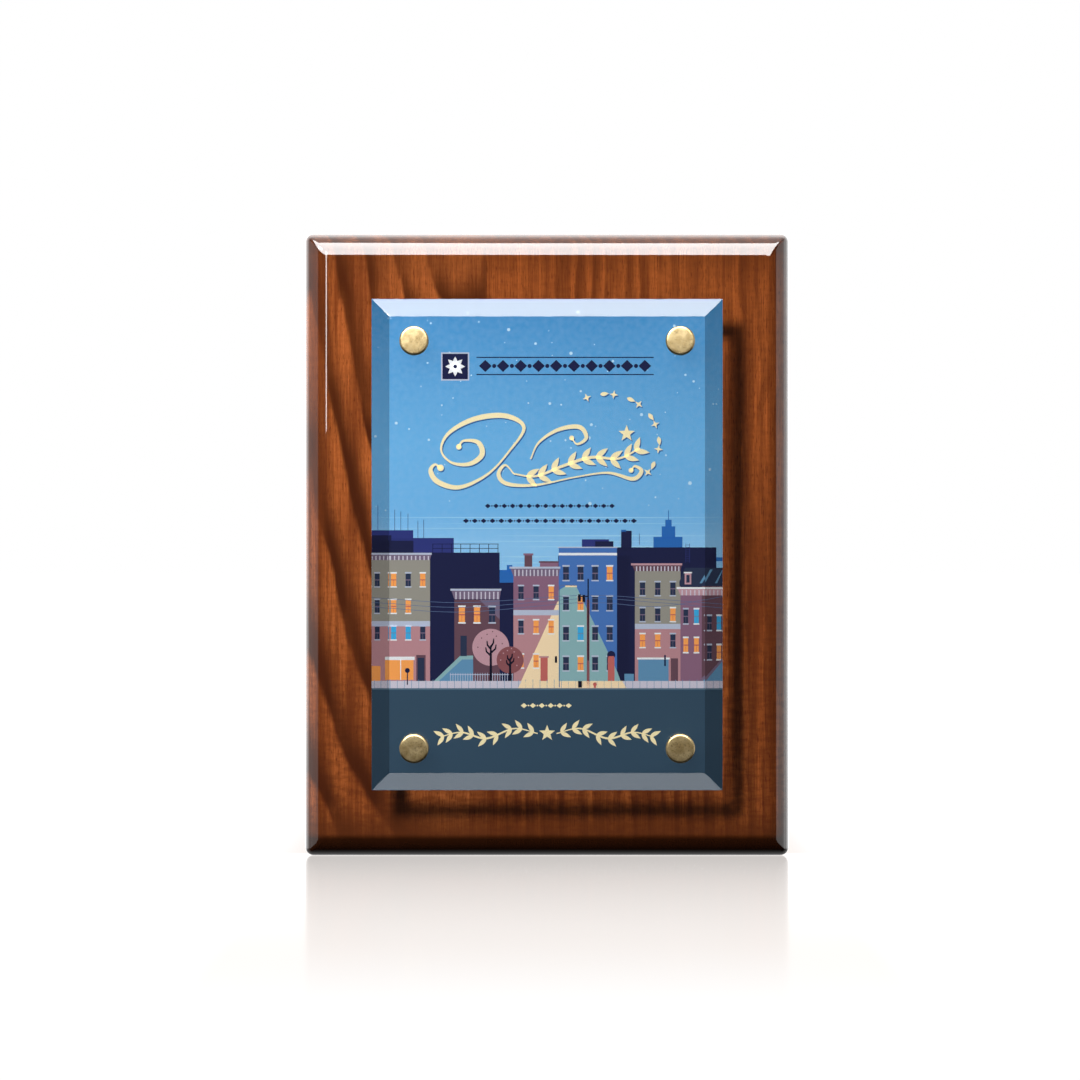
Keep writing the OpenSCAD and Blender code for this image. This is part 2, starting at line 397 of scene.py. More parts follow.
WALNUT = {
    "left": walnut("walnut_cathedral", (169, 91, 44), (-42.0, 146.0), 0.28, 9.5, 1.0, 16.0),
    "right": walnut("walnut_straight", (161, 84, 38), (330.0, 0.0), 0.03, 6.4, 0.5, 24.0),
}
print("finishes:", sorted(m.name for m in WALNUT.values()))

# %% [markdown]
# ## The board
# The moulding is a quarter-round that a router runs round the board. It could be a bevel modifier on a box,
# but a bevel rounds the corners too. Here each ring of the grid is the board's outline set inwards by the
# profile: near the side the corner keeps its plan radius, and further in the sides meet in a mitre that the
# lacquer has softened. The whole board is then cut at the glue joint into its two staves.

# %% The board's outline and section
CORNER_R = 3.0
EASE_R = 0.8
MITRE_SOFT_R = 1.3
FLAT_BAND = 0.7
CORNER_STEPS = 10


def outline(inset):
    """A rounded rectangle set inwards by inset; its corner radius shrinks as much, to the soft mitre."""
    r = np.maximum(CORNER_R - inset, MITRE_SOFT_R)
    r = min(r, CORNER_R)
    half_w, half_h = board_w / 2 - inset - r, board_h / 2 - inset - r
    middle = [(half_w, half_h), (-half_w, half_h), (-half_w, -half_h), (half_w, -half_h)]
    corners = [arc(cx, cz, r, 90 * k, 90 * k + 90, CORNER_STEPS) for k, (cx, cz) in enumerate(middle)]
    return np.concatenate(corners)


def board_profile():
    """Insets and depths from the back's flat, round its soft edge, up the side and round the moulding."""
    ease = arc(EASE_R, -EASE_R, EASE_R, 90, 180, 6)
    mould = arc(MOULD_R, -(board_t - MOULD_R), MOULD_R, 180, 270, 26)
    back = [[EASE_R + FLAT_BAND, 0.0]]
    side = [[0.0, -EASE_R - FLAT_BAND], [0.0, -(board_t - MOULD_R) + FLAT_BAND]]
    face = [[MOULD_R + FLAT_BAND, -board_t]]
    return np.concatenate([back, ease, side, mould, face])


def board_piece(name):
    """The outline at every step of the section: one ring for each inset and depth."""
    rings = [np.insert(outline(inset), 1, y, axis=1) for inset, y in board_profile()]
    return capped_grid(name, np.stack(rings), angle=40.0)


def keep_side(piece, x_mm, keep_left):
    """Cut the piece at x, keep one side and close the cut with a flat face."""
    work = bmesh.new()
    work.from_mesh(piece.data)
    everything = work.verts[:] + work.edges[:] + work.faces[:]
    cut = bmesh.ops.bisect_plane(work, geom=everything, plane_co=(x_mm * MM, 0, 0), plane_no=(1, 0, 0),
                                 clear_outer=keep_left, clear_inner=not keep_left)
    edges = [e for e in cut["geom_cut"] if isinstance(e, bmesh.types.BMEdge)]
    bmesh.ops.contextual_create(work, geom=edges)
    bmesh.ops.recalc_face_normals(work, faces=work.faces)
    work.to_mesh(piece.data)
    work.free()


# %% Cutters for the back: recess, pocket and pilot holes
hanger_low, hanger_high = span("hanger_plate")
hanger_w = hanger_high[0] - hanger_low[0]
hanger_t = hanger_high[1] - hanger_low[1]
hanger_z = (hanger_low[2] + hanger_high[2]) / 2
hanger_pitch = (hanger_high[2] - hanger_low[2]) - hanger_w
hanger_ends = (hanger_z - hanger_pitch / 2, hanger_z + hanger_pitch / 2)
hanger_mount = next(m for m in frame["record"]["mounts"] if m["name"] == "hanger_entry")
entry_z = hanger_mount["pos_m"][2] / MM
entry_r = hanger_mount["dims"]["r_mm"]
slot_z = 2 * hanger_z - entry_z
POCKET_DEEP = 7.0
POCKET_W = 2 * entry_r + 3.0


def upright_slot(width, low_z, high_z, y0, y1, steps=24):
    """A cutter with round ends: two half circles joined by straight sides, carried along Y."""
    top = arc(0, high_z, width / 2, 0, 180, steps)
    bottom = arc(0, low_z, width / 2, 180, 360, steps)
    ring = np.concatenate([top, bottom])
    return capped_grid("cutter", np.stack([np.insert(ring, 1, y, axis=1) for y in (y0, y1)]))


def back_cutters():
    """The hanger's shallow recess, the screw head's deep pocket and the two pilot holes."""
    cutters = [upright_slot(hanger_w + 0.2, *hanger_ends, -hanger_t, 1.0)]
    cutters.append(upright_slot(POCKET_W, entry_z, slot_z, -POCKET_DEEP, 0.5))
    cutters += [rod(0, z, -SCREW_L, 0.0, SCREW_D, 24) for z in hanger_ends]
    return cutters


def dowel_cutters(side):
    """Round holes for the screws that come out of one stave's face."""
    places = [post_place(c) for c in CORNERS if c.endswith(side)]
    depth = span("dowel_screw_top_left")[1][1]
    return [rod(x, z, -board_t - 1, depth, DOWEL_HOLE_D, 32) for x, z in places]


# %% Make the two staves
for side in ("left", "right"):
    stave = board_piece("lacquered_stave_" + side)
    keep_side(stave, glue_x, side == "left")
    carve(stave, dowel_cutters(side) + (back_cutters() if side == "right" else []), 40.0)
    place(stave, BODY, "walnut", WALNUT[side], "stave_" + side)
    print(stave.name, "faces:", len(stave.data.polygons))

# %% [markdown]
# ## The clear plate
# The plate is polished acrylic: a flat back, a small upright edge and a mitred bevel round the front. Three
# rings of four corners make it. Sharp polished edges still have a hair of roundness that catches light, so
# a very fine bevel modifier finishes them. Only those fine faces are shaded smooth, because the big ones
# are flat. The side and top bevels get a grey tint, painted shade that shows them as soft dark bands inside
# the bright edge. Lamps reach the picture straight through the plate, so it casts no shadow, and light that
# the picture scatters skips it too, or every lamp would count twice.

# %% Clear acrylic
BEVEL_W = 6.5
BEVEL_D = 3.2


def clear_acrylic(name, tint):
    """Glass with a refractive index of 1.49 and no roughness."""
    g = Graph(name)
    g.set(Base_Color=(*tint, 1.0), Roughness=0.0, Transmission_Weight=1.0, IOR=1.49)
    return g.material


def rectangle_ring(inset, y, w, h):
    """Four corners at (plus or minus (width / 2 - inset), y, plus or minus (height / 2 - inset))."""
    x, z = w / 2 - inset, h / 2 - inset
    return np.array([[x, y, z], [-x, y, z], [-x, y, -z], [x, y, -z]])


def bevelled_plate():
    """Rings at the back, where the bevel starts and at the front, with the post holes cut through."""
    front, back = plate_low[1], plate_high[1]
    rings = [(0, back), (0, front + BEVEL_D), (BEVEL_W, front)]
    grid = np.stack([rectangle_ring(i, y, plate_w, plate_h) for i, y in rings])
    plate = capped_grid("bevelled_clear_plate", grid, 5.0)
    carve(plate, [rod(*post_place(c), front - 1, back + 1, HOLE_D) for c in CORNERS], 20.0)
    ease_edges(plate, 0.12, 18)
    narrow = [face.area < (5 * MM) ** 2 for face in plate.data.polygons]
    plate.data.polygons.foreach_set("use_smooth", narrow)
    return plate


POLISHED = clear_acrylic("clear_acrylic", (0.97, 0.99, 1.0))
# A grey tint for the side and top bevels: painted shade that darkens the picture seen through them.
SHADED_BEVEL = clear_acrylic("shaded_bevel_tint", (0.36, 0.36, 0.36))
plate = place(bevelled_plate(), BODY, "clear_plate", POLISHED, "clear_plate")
plate.visible_shadow = plate.visible_diffuse = False
plate.data.materials.append(SHADED_BEVEL)
facing = np.empty(3 * len(plate.data.polygons), dtype=np.float32)
plate.data.polygons.foreach_get("normal", facing)
facing = facing.reshape(-1, 3)
side_bevel = (np.abs(facing[:, 0]) > 0.3) & (facing[:, 1] < -0.7)
top_bevel = (facing[:, 2] > 0.3) & (facing[:, 1] < -0.7)
plate.data.polygons.foreach_set("material_index", (side_bevel | top_bevel).astype(np.int32))
print(plate.name, "faces:", len(plate.data.polygons))

# %% [markdown]
# ## Brass posts and caps
# The posts, caps and screws are lathe work, so each is a profile turned about its axis. A thread is the
# same surface with a radius that also depends on the angle: the height minus the angle's share of one pitch
# goes through a triangle wave. The caps are satin brass: a metal with a soft roughness, faint turning
# rings, and a little tarnish that noise spreads unevenly.

# %% Metal and washer finishes
def satin_metal(name, colour, worn, rough, ring_scale, turned_at=None):
    """Satin metal: noise mixes the clean and worn colours; lathe rings round the posts, or fibres, mark it.

    The four posts mirror each other, so the absolute values of x and z measure all four from one place."""
    g = Graph(name)
    at = g.millimetres()
    cloud = g.noise(at, 0.35, 3.0)
    speck = g.noise(at, 3.5, 4.0, 0.6)
    blend = g.remap(g.math("ADD", g.math("MULTIPLY", cloud, 0.7), g.math("MULTIPLY", speck, 0.3)), 0.35, 0.65)
    g.colour(g.mix(blend, rgb(*colour), rgb(*worn)))
    g.set(Metallic=1.0)
    g.feed(g.shader.inputs["Roughness"], g.remap(speck, 0.3, 0.7, rough - 0.04, rough + 0.07))
    if turned_at is None:
        height = g.noise(g.millimetres((0.6, ring_scale, 0.6)), 1.0, 2.0)
    else:
        x, y, z = g.split(at)
        off_x = g.math("SUBTRACT", g.math("ABSOLUTE", x), turned_at[0])
        off_z = g.math("SUBTRACT", g.math("ABSOLUTE", z), turned_at[1])
        square = g.math("ADD", g.math("MULTIPLY", off_x, off_x), g.math("MULTIPLY", off_z, off_z))
        reach = g.math("MULTIPLY", g.math("SQRT", square), ring_scale)
        height = g.noise(g.join(reach, g.math("MULTIPLY", y, ring_scale), 0.0), 1.0, 2.0)
    g.bump(height, 0.35, 0.012)
    return g.material


def soft_nylon():
    """Off-white plastic that lets a little light in."""
    g = Graph("soft_nylon")
    mottle = g.noise(g.millimetres(), 1.2, 2.0)
    g.colour(g.mix(mottle, rgb(226, 226, 218), rgb(240, 240, 235)))
    g.set(Roughness=0.45, Subsurface_Weight=0.25, Subsurface_Scale=0.0006)
    return g.material


NYLON = soft_nylon()
BRASS = satin_metal("satin_brass", (146, 130, 96), (118, 101, 68), 0.29, 5.0, np.abs(post_place("top_right")))
ZINC = satin_metal("zinc_plate", (186, 188, 186), (150, 152, 150), 0.3, 3.0)
PLATED = satin_metal("brass_plate", (206, 172, 104), (190, 154, 86), 0.26, 3.0)


# %% Threads and turned parts
THREAD_PITCH = 0.8
WOOD_PITCH = 1.8
STUD_ROOT_R, STUD_CREST_R = 2.05, 2.48
BORE_R = 2.55
POST_CHAMFER = 0.35
WASHER_BORE_R = 2.65
WASHER_SOFT_R = 0.2
WASHER_CLEAR = 0.01


def thread(root, crest, y, pitch, steps=ROUND_STEPS):
    """Radius at each height y and each angle: a triangle wave of (y / pitch - angle / full turn)."""
    turn = np.arange(steps) / steps
    phase = (np.asarray(y, float)[:, None] / pitch + turn) % 1.0
    wave = 1 - np.abs(2 * phase - 1)
    return root + (crest - root) * wave


def threaded_rows(y0, y1, root, crest, pitch):
    """Rows down a thread from y0 to y1, eight to a turn, that fade in and out over half a turn."""
    count = max(4, int(abs(y1 - y0) / pitch * 8))
    y = np.linspace(y0, y1, count)
    fade = np.clip(np.minimum(np.abs(y - y0), np.abs(y - y1)) / (0.5 * pitch), 0, 1)[:, None]
    return root + (thread(root, crest, y, pitch) - root) * fade, y


# %% Make the caps
CAP_EDGE_R = 0.8
CAP_DOME = 0.05


def cap_piece(corner):
    """From the face's middle out over a shallow dome, round the edge, under the head and down the stud."""
    low, high = span("cap_" + corner)
    under = span("front_washer_" + corner)[0][1]
    head_r = (high[0] - low[0]) / 2
    front, tip = low[1], high[1]
    flat_r = head_r - CAP_EDGE_R
    face_r = np.linspace(0, flat_r, 6)
    face_y = front + CAP_DOME * (face_r / flat_r) ** 2
    edge = arc(flat_r, front + CAP_DOME + CAP_EDGE_R, CAP_EDGE_R, 270, 360, 9)[1:]
    under_r, under_y = [head_r, head_r - 0.25, 2.1], [under - 0.25, under, under]
    stud_r, stud_y = threaded_rows(under + 0.05, tip - 0.6, STUD_ROOT_R, STUD_CREST_R, THREAD_PITCH)
    head = full(np.concatenate([face_r, edge[:, 0], under_r]))
    end = full([2.05, 1.7, 0.0])
    radius = np.concatenate([head, stud_r, end])
    along = np.concatenate([face_y, edge[:, 1], under_y, stud_y, [tip - 0.45, tip, tip]])
    return turned("turned_cap_" + corner, radius, along, post_place(corner))


def post_piece(corner):
    """A tube with a chamfer at each end, threaded bore left plain."""
    low, high = span("post_" + corner)
    r = (high[0] - low[0]) / 2
    ring = full([BORE_R, r - POST_CHAMFER, r, r, r - POST_CHAMFER, BORE_R])
    along = [low[1], low[1], low[1] + POST_CHAMFER, high[1] - POST_CHAMFER, high[1], high[1]]
    post = turned("turned_post_" + corner, ring, along, post_place(corner), 40.0, closed=True)
    ease_edges(post, 0.1, 30)
    return post


def washer_piece(kind, corner):
    """A flat ring with a rounded rim, a hair thinner than its gap so that it never shares a face."""
    low, high = span(kind + corner)
    r = (high[0] - low[0]) / 2
    middle_y = (low[1] + high[1]) / 2
    half_t = (high[1] - low[1]) / 2 - WASHER_CLEAR
    outer = arc(r - WASHER_SOFT_R, middle_y, WASHER_SOFT_R, -90, 90, 7)
    outer[:, 1] = middle_y + (outer[:, 1] - middle_y) * half_t / WASHER_SOFT_R
    ring = full(np.concatenate([[WASHER_BORE_R], outer[:, 0], [WASHER_BORE_R]]))
    along = np.concatenate([[middle_y - half_t], outer[:, 1], [middle_y + half_t]])
    return turned("soft_" + kind + corner, ring, along, post_place(corner), 50.0, closed=True)


def dowel_piece(corner):
    """A headless screw: a machine thread into the post, and a coarse wood thread behind the board's face."""
    low, high = span("dowel_screw_" + corner)
    wood_r, wood_y = threaded_rows(-board_t, high[1] - 2.4, 1.75, 2.45, WOOD_PITCH)
    machine_r, machine_y = threaded_rows(low[1] + 0.4, -board_t, STUD_ROOT_R, STUD_CREST_R, THREAD_PITCH)
    radius = np.concatenate([full([0.0, 1.8]), machine_r, wood_r, full([0.0])])
    along = np.concatenate([[low[1], low[1]], machine_y, wood_y, [high[1]]])
    return turned("threaded_dowel_screw_" + corner, radius, along, post_place(corner))


for corner in CORNERS:
    place(cap_piece(corner), "cap_" + corner, "brass", BRASS, "cap_" + corner)
    place(post_piece(corner), BODY, "brass", BRASS, "post_" + corner)
    for kind, body in (("front_washer_", "washer_" + corner), ("rear_washer_", BODY)):
        place(washer_piece(kind, corner), body, "washer", NYLON, kind + corner)
    place(dowel_piece(corner), BODY, "dowel_screw", ZINC, "dowel_screw_" + corner)
print("turned pieces made:", 5 * len(CORNERS))

# %% [markdown]
# ## The hanger
# A pressed keyhole plate is let in flush with the back and held by two countersunk screws with cross
# drives. The wall screw's head goes in through the round hole and rides up behind the slot. The plate is
# one extruded outline with its openings cut out, and a fine bevel gives it the rounded look of pressed
# metal.

# %% Make the hanger plate and its screws
SLOT_W = 4.8


def hanger_piece():
    """The extruded outline with its keyhole, slot and countersinks cut out."""
    pressed = upright_slot(hanger_w, *hanger_ends, -hanger_t, 0.0, 32)
    pressed.name = "pressed_hanger_plate"
    cutters = [rod(0, entry_z, -hanger_t - 1, 1, 2 * entry_r), upright_slot(SLOT_W, entry_z, slot_z, -9, 1)]
    for z in hanger_ends:
        wide, narrow = SCREW_HEAD_D / 2 + 0.1, SCREW_D / 2 + 0.1
        slope = (wide - narrow) / SCREW_HEAD_H
        cutters.append(turned("cutter", full([0, narrow, narrow, wide + slope, 0], 48),
                              [-hanger_t - 1, -hanger_t - 1, -SCREW_HEAD_H, 1.0, 1.0], (0, z)))
    carve(pressed, cutters, 30.0)
    ease_edges(pressed, 0.18, 50)
    return pressed


def cross_cutter(z, long_w, long_h):
    """One arm of a cross drive: a block that narrows towards its floor, 0.8 deep."""
    top = [[long_w, 0.4, long_h], [-long_w, 0.4, long_h], [-long_w, 0.4, -long_h], [long_w, 0.4, -long_h]]
    ring = np.array(top) / 2
    floor = ring * 0.8
    ring[:, 1], floor[:, 1] = 0.2, -0.8
    grid = np.stack([ring, floor])
    grid[..., 2] += z
    return capped_grid("cutter", grid)


def hanger_screw_piece(which):
    """A flat head, a countersink cone and a wood thread, with a cross drive cut in."""
    low, high = span("hanger_screw_" + which)
    z = (low[2] + high[2]) / 2
    shank_r, shank_y = threaded_rows(-SCREW_HEAD_H - 0.5, -SCREW_L + 1.8, 1.05, 1.48, 1.1)
    head = full([0.0, SCREW_HEAD_D / 2 - 0.15, SCREW_HEAD_D / 2, 1.5])
    radius = np.concatenate([head, shank_r, full([0.0])])
    along = np.concatenate([[0.0, 0.0, -0.12, -SCREW_HEAD_H], shank_y, [-SCREW_L]])
    screw = turned("countersunk_screw_" + which, radius, along, (0, z))
    carve(screw, [cross_cutter(z, 3.4, 0.8), cross_cutter(z, 0.8, 3.4)], 35.0)
    return screw


place(hanger_piece(), BODY, "hanger", PLATED, "hanger_plate")
for which in ("top", "bottom"):
    place(hanger_screw_piece(which), BODY, "hanger_screw", PLATED, "hanger_screw_" + which)
print("hanger made at height", round(float(hanger_z), 1))

# %% [markdown]
# ## The printed picture
# The picture is printed on a thin film behind the clear plate, and its flat shapes are as crisp as cut
# paper. A drawn texture would blur, so every patch of ink is a very thin slab with its own outline, and
# each ink lies a hundredth of a millimetre in front of the one below. It shows an evening street with a lit
# lamp, and it has ornaments in place of lettering: a sprig, scrolls, stars and rules.

# %% Outlines that the picture is drawn with
SKY_FRONT = film_high[1] - 0.10
INK_STEP = 0.012
INK_THICK = 0.02
PAINTS = {}


def paint(name, *screen):
    """A flat printing ink, kept under its name."""
    g = Graph("ink_" + name)
    g.set(Base_Color=rgb(*screen), Roughness=0.55, Specular_IOR_Level=0.0)
    PAINTS[name] = g.material


def block(x0, z0, x1, z1):
    """A rectangle from its left, bottom, right and top."""
    return np.array([[x0, z0], [x1, z0], [x1, z1], [x0, z1]], float)


def blocks(ink, layer, *corners):
    """Marks of one ink on one layer: a rectangle for each (left, bottom, right, top)."""
    return [(ink, layer, block(*c)) for c in corners]


def patch(*points):
    """An outline from its own corner points."""
    return np.array(points, float)


def disc(x, z, r, steps=24):
    """A round dot: a full circle without its repeated last point."""
    return arc(x, z, r, 0, 360, steps + 1)[:-1]


def star(x, z, r, tips=5, depth=0.42, turn=90.0):
    """Points go round by turns; every second one lies at depth times the outer radius."""
    t = np.radians(turn + np.arange(2 * tips) * 180.0 / tips)
    reach = r * np.where(np.arange(2 * tips) % 2, depth, 1.0)
    return np.stack([x + reach * np.cos(t), z + reach * np.sin(t)], -1)


def leaf(x, z, long, wide, angle, steps=9):
    """Two bowed sides: the half width is wide times sine along the length."""
    t = np.linspace(0, 1, steps)
    side = 0.5 * wide * np.sin(np.pi * t ** 0.8)
    ring = np.concatenate([np.stack([t * long, side], -1), np.stack([t * long, -side], -1)[-2:0:-1]])
    a = math.radians(angle)
    spin = np.array([[math.cos(a), math.sin(a)], [-math.sin(a), math.cos(a)]])
    return ring @ spin + (x, z)


def smooth_line(points, steps=12):
    """A curve through all the points: each stretch blends its four nearest points with cubic weights."""
    p = np.asarray(points, float)
    p = np.concatenate([[2 * p[0] - p[1]], p, [2 * p[-1] - p[-2]]])
    t = np.linspace(0, 1, steps, endpoint=False)[:, None]
    a, b, c, d = (p[k:len(p) - 3 + k, None, :] for k in range(4))
    square, cube = 2 * a - 5 * b + 4 * c - d, 3 * b - a - 3 * c + d
    line = 0.5 * (2 * b + (c - a) * t + square * t ** 2 + cube * t ** 3)
    return np.concatenate([line.reshape(-1, 2), p[-2:-1]])


def ribbon(line, width):
    """A strip along a line: its two sides lie half a width out along the line's normal."""
    line = np.asarray(line, float)
    along = np.gradient(line, axis=0)
    along /= np.linalg.norm(along, axis=1, keepdims=True)
    normal = np.stack([-along[:, 1], along[:, 0]], -1)
    half = np.broadcast_to(np.asarray(width, float), len(line))[:, None] / 2
    return line + normal * half, line - normal * half


def pen_width(count, thin, thick, beats=1.0):
    """A pen's stroke: thin at the ends, with a number of swells between."""
    t = np.linspace(0, 1, count)
    swell = 0.5 - 0.5 * np.cos(2 * np.pi * beats * t)
    return thin + (thick - thin) * swell * np.clip(8 * t, 0.3, 1) * np.clip(8 * (1 - t), 0.3, 1)


def slab(shape, front, back):
    """Points and faces of one patch of ink: an outline, or a pair of sides for a ribbon."""
    if isinstance(shape, tuple):
        one, two = shape
        corners = ((one, front), (two, front), (two, back), (one, back))
        rows = [np.insert(side, 1, y, axis=1) for side, y in corners]
        points = np.stack(rows, 1).reshape(-1, 3)
        faces = grid_quads(len(one), 4).tolist()
        return points, faces + [[3, 2, 1, 0], [4 * len(one) - k for k in (4, 3, 2, 1)]]
    count = len(shape)
    points = np.concatenate([np.insert(shape, 1, y, axis=1) for y in (front, back)])
    ring = list(range(count))
    return points, grid_quads(2, count).tolist() + [ring[::-1], [count + k for k in ring]]


def fits(shape):
    """Ink stays inside the film's edge."""
    low, high = film_low[[0, 2]] + 0.05, film_high[[0, 2]] - 0.05
    if isinstance(shape, tuple):
        return tuple(np.clip(side, low, high) for side in shape)
    return np.clip(shape, low, high)


def print_layer(name, marks):
    """One piece from a list of (paint, layer, shape): a higher layer lies nearer the clear plate."""
    points, faces, inks, used = [], [], [], sorted({m[0] for m in marks})
    start = 0
    for ink, layer, shape in marks:
        front = SKY_FRONT - INK_STEP * layer
        p, f = slab(fits(shape), front, front + INK_THICK)
        points.append(p)
        faces += [[start + k for k in face] for face in f]
        inks += [used.index(ink)] * len(f)
        start += len(p)
    mesh = bpy.data.meshes.new(name)
    mesh.from_pydata((np.concatenate(points) * MM).tolist(), [], faces)
    for ink in used:
        mesh.materials.append(PAINTS[ink])
    mesh.polygons.foreach_set("material_index", np.array(inks, dtype=np.int32))
    work = bmesh.new()
    work.from_mesh(mesh)
    bmesh.ops.recalc_face_normals(work, faces=work.faces)
    work.to_mesh(mesh)
    work.free()
    piece = stand(name, mesh)
    piece.visible_shadow = False
    print(name, "marks:", len(marks))
    return place(piece, BODY, "picture", None, "picture_film")


# %% Inks
INKS = {
    "navy": (30, 34, 70), "night": (48, 56, 122), "far": (44, 106, 182), "haze": (160, 212, 244),
    "star": (190, 224, 246), "taupe": (152, 148, 138), "pink": (188, 138, 144), "plum": (140, 102, 126),
    "brown": (104, 74, 86), "blue": (74, 118, 186), "teal": (140, 180, 184), "cream": (252, 224, 182),
    "gold": (255, 238, 188), "shade": (44, 96, 158), "slate": (98, 146, 182), "pale": (186, 194, 214),
    "mid": (120, 104, 128), "dark": (44, 54, 80), "lit": (255, 166, 88), "cyan": (62, 170, 224),
    "kerb": (208, 202, 216), "road": (54, 78, 98), "road_line": (84, 112, 132), "rose": (196, 152, 162),
    "rust": (140, 84, 88), "twig": (22, 22, 40), "door": (196, 104, 98), "wire": (92, 112, 150),
    "white": (238, 240, 242), "back": (46, 40, 36),
}
for ink_name, screen in INKS.items():
    paint(ink_name, *screen)
GROUND = -52.0
KERB_TOP = -49.4
print("inks mixed:", len(PAINTS))

# %% [markdown]
# ## The street
# The houses are blocks with a cornice, a band and a grid of windows. A row of letters says which panes are
# dark, lit or blue, so a whole front takes one line. The lamp's light is two flat wedges: cream where it
# meets the pavement and pale teal where it lies on the wall.

# %% Draw the town
PANES = {"d": "dark", "o": "lit", "c": "cyan"}


def window(x, z, w, h, pane, layer):
    """A pane with a lintel over it, a sill under it and one glazing bar."""
    trim = "pale" if pane == "dark" else "white"
    bar = "mid" if pane == "dark" else "door" if pane == "lit" else "slate"
    return [
        (trim, layer, block(x - w * 0.62, z + h * 0.5, x + w * 0.62, z + h * 0.62)),
        (trim, layer, block(x - w * 0.62, z - h * 0.6, x + w * 0.62, z - h * 0.5)),
        (pane, layer, block(x - w * 0.5, z - h * 0.5, x + w * 0.5, z + h * 0.5)),
        (bar, layer + 1, block(x - w * 0.5, z - h * 0.04, x + w * 0.5, z + h * 0.04)),
        (bar, layer + 1, block(x - w * 0.03, z - h * 0.5, x + w * 0.03, z)),
    ]


def front(x0, x1, top, wall, panes, first_z, drop, w=1.9, h=4.6, layer=4, lower=None, band_z=None):
    """One house front: its wall, an optional second colour below a band, and its grid of windows."""
    marks = [(wall, layer, block(x0, KERB_TOP, x1, top))]
    if lower:
        marks.append((lower, layer + 1, block(x0, KERB_TOP, x1, band_z)))
        marks.append(("pale", layer + 2, block(x0, band_z, x1, band_z + 1.9)))
    for row, letters in enumerate(panes):
        step = (x1 - x0) / len(letters)
        for col, letter in enumerate(letters):
            if letter in PANES:
                marks += window(x0 + step * (col + 0.5), first_z - drop * row, w, h, PANES[letter], layer + 2)
    return marks


def cornice(x0, x1, z, deep, top="pale", under="mid", layer=6, teeth=0):
    """A ledge with a slanted underside and a row of small brackets."""
    marks = [(top, layer + 1, block(x0 - 1.4, z - 0.5, x1 + 0.6, z + 0.2))]
    marks.append((under, layer, np.array([[x0, z - deep], [x1, z - deep], [x1 + 0.5, z], [x0 - 1.2, z]])))
    for x in np.linspace(x0 + 0.6, x1 - 0.6, teeth):
        marks.append(("kerb", layer + 1, block(x - 0.22, z - deep, x + 0.22, z - 0.9)))
    return marks


far_town = [
    *blocks("night", 2, (-63.5, -3.0, -48.5, 5.2), (-57.0, -4.0, -33.8, 2.4)),
    *blocks("navy", 3, (-63.5, -4.0, -56.4, 3.4), (-63.5, -6.0, -48.4, 1.4)),
    *blocks("far", 2, (38.5, -2.0, 49.0, 2.8), (41.5, 2.0, 46.4, 6.6), (42.8, 6.0, 45.1, 9.0),
            (43.8, 9.0, 44.1, 12.4), (57.5, -6.0, 63.5, -4.6), (-17.4, -16.0, -11.0, -9.2),
            (-14.6, -10.0, -12.6, -7.4)),
    ("night", 2, block(12.6, -2.0, 22.4, 1.9)),
    *blocks("navy", 3, (17.4, -2.0, 24.0, 1.2), (26.8, -2.0, 30.6, 5.0)),
    ("far", 3, block(26.8, 4.6, 28.6, 5.4)),
]
masts = ((-60.6, 14.2), (-55.2, 12.6), (-53.0, 12.0), (-50.4, 11.2), (-46.8, 8.6), (-44.7, 9.0), (33.4, 4.0))
far_town += [("night", 2, block(x - 0.09, 0.0, x + 0.09, z)) for x, z in masts]
navy_blocks = [
    *blocks("navy", 3, (-42.5, GROUND, -17.2, -2.9), (-17.4, GROUND, -12.0, -13.8),
            (25.2, GROUND, 60.6, -1.0), (4.0, GROUND, 30.0, -4.0)),
]
navy_blocks += [("navy", 3, block(x - 0.12, -3.2, x + 0.12, 0.3)) for x in np.linspace(-41.4, -17.8, 8)]
navy_blocks += [("navy", 3, block(-41.6, z, -17.6, z + 0.22)) for z in (0.1, -1.5)]
navy_blocks += [("night", 4, block(x - 0.07, -6.6, x + 0.07, 0.4)) for x in (50.2, 51.6)]
navy_blocks += [("night", 4, block(50.2, z, 51.6, z + 0.14)) for z in np.linspace(-6.0, -0.2, 8)]

houses = front(-63.5, -42.4, -4.6, "taupe", ["dodo", "doo.", "dccd"], -12.8, 9.6, lower="pink", band_z=-29.6)
houses += cornice(-63.5, -42.4, -3.2, 2.4, teeth=14)
houses += front(-33.6, -17.2, -20.0, "brown", ["ood"], -25.4, 9.0, w=2.2, h=5.4)
houses += cornice(-33.6, -17.2, -16.2, 3.6, teeth=11)
houses += [("mid", 5.5, patch([-24.5, -20.0], [-17.2, -20.0], [-17.2, -27.0]))]
houses += front(-12.2, 4.2, -10.6, "plum", ["ddo", "doo", "oo."], -17.4, 12.4, lower="pink", band_z=-25.6)
houses += cornice(-12.2, 4.2, -8.2, 3.2, teeth=12)
houses += [("brown", 3, block(-8.2, -9.0, -5.4, -3.2)), ("plum", 4, block(-8.6, -3.9, -5.0, -3.2))]
houses += [("plum", 3, block(-2.6, -9.0, 4.2, -6.6)), ("brown", 4, block(-3.0, -6.6, 4.2, -6.0))]
houses += front(4.2, 25.3, -1.0, "blue", ["dddo", "dodd", "dcdd", "dodd"], -10.4, 10.9, w=2.1, h=4.8)
houses += [("pale", 6, block(3.8, -1.2, 25.5, -0.8)), ("white", 6, block(4.2, -3.9, 25.3, -3.0))]
houses += front(31.8, 48.3, -8.6, "taupe", ["ddd", "ddo", "ood"], -16.0, 9.4, lower="pink", band_z=-30.6)
houses += cornice(31.8, 48.3, -7.0, 2.6, top="rose", under="brown", teeth=13)
